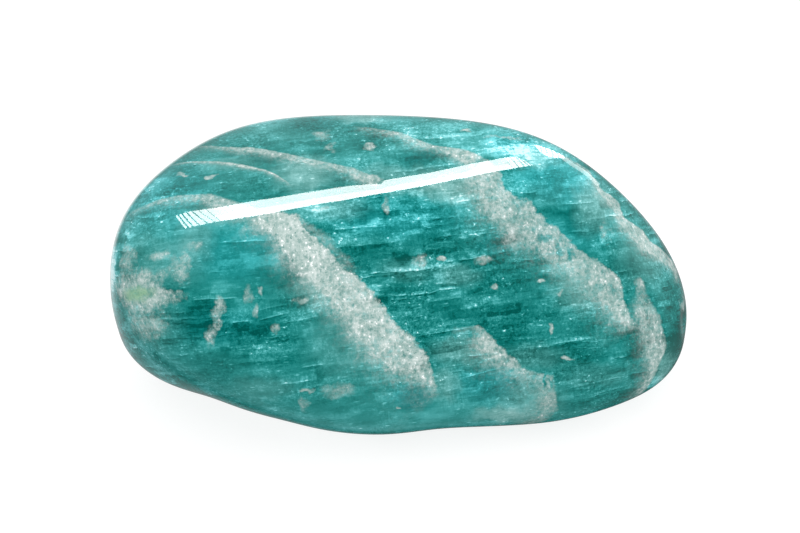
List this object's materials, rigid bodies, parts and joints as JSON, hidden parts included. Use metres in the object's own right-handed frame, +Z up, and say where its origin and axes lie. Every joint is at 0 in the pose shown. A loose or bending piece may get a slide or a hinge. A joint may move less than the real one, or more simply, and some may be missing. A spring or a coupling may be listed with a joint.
{
  "type": "tumbled amazonite pebble",
  "caption": "Oblong tumbled and polished blue-green amazonite pebble with slanting white streaks, lying on a small flat spot.",
  "frame": {"origin": "centre of the bounding box's underside, on the surface that the stone lies on", "axes": "+X along the stone's length towards its narrow right end, -Y the front that the picture shows, +Z up"},
  "size_m": [0.036, 0.0186, 0.0159],
  "materials": {
    "polished_amazonite": "polished"
  },
  "bodies": {
    "root": {"amazonite_pebble": "polished_amazonite"}
  },
  "joints": []
}
